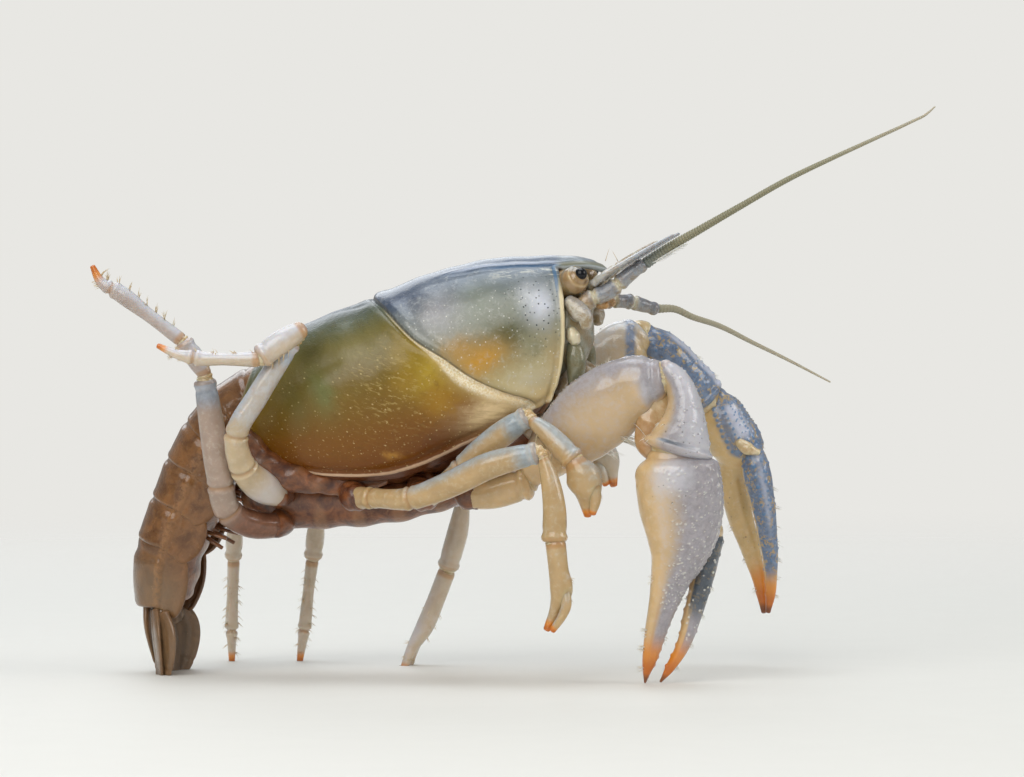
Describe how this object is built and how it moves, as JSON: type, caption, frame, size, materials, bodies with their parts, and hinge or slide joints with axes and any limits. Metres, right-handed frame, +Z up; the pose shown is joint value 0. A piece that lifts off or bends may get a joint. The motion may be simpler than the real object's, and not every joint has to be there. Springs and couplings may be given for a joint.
{
  "type": "burrowing bog crayfish",
  "caption": "Burrowing bog crayfish, life size and resting, with a high domed shell, hanging claws, tucked tail and long feelers.",
  "frame": {"origin": "middle of the footprint, on the floor that the animal rests on", "axes": "+X the way the head looks, +Y the animal's left, +Z up"},
  "size_m": [0.0624, 0.0286, 0.0426],
  "materials": {
    "shell": "wet, glossy horn",
    "underside": "soft, moist skin",
    "limb": "wet, thin horn",
    "claw": "wet, knobbed horn",
    "cornea": "bright and black",
    "tail": "wet, see-through horn",
    "feeler": "fine rings, satin"
  },
  "bodies": {
    "root": {"antenna_base_left": "feeler", "antenna_base_right": "feeler", "antenna_left": "feeler", "antenna_right": "feeler", "antenna_scale_left": "feeler", "antenna_scale_right": "feeler", "antennule_left": "feeler", "antennule_right": "feeler", "carapace": "shell", "claw_left_arm": "claw", "claw_left_base": "claw", "claw_left_finger": "claw", "claw_left_palm": "claw", "claw_left_wrist": "claw", "claw_right_arm": "claw", "claw_right_base": "claw", "claw_right_finger": "claw", "claw_right_palm": "claw", "claw_right_wrist": "claw", "eye_left": "cornea", "eye_right": "cornea", "eyestalk_left": "underside", "eyestalk_right": "underside", "face": "underside", "jaw_leg_left": "limb", "jaw_leg_right": "limb", "leg2_left_hand": "limb", "leg2_left_shank": "limb", "leg2_left_upper": "limb", "leg2_right_hand": "limb", "leg2_right_shank": "limb", "leg2_right_upper": "limb", "leg3_left_hand": "limb", "leg3_left_shank": "limb", "leg3_left_upper": "limb", "leg3_right_hand": "limb", "leg3_right_shank": "limb", "leg3_right_upper": "limb", "leg4_left_foot": "limb", "leg4_left_shank": "limb", "leg4_left_upper": "limb", "leg4_right_foot": "limb", "leg4_right_shank": "limb", "leg4_right_upper": "limb", "leg5_left_foot": "limb", "leg5_left_shank": "limb", "leg5_left_upper": "limb", "leg5_right_foot": "limb", "leg5_right_shank": "limb", "leg5_right_upper": "limb", "sternum": "underside", "tail_1": "tail", "tail_2": "tail", "tail_3": "tail", "tail_4": "tail", "tail_5": "tail", "tail_6": "tail", "tail_fan_left": "tail", "tail_fan_middle": "tail", "tail_fan_right": "tail"}
  },
  "joints": []
}
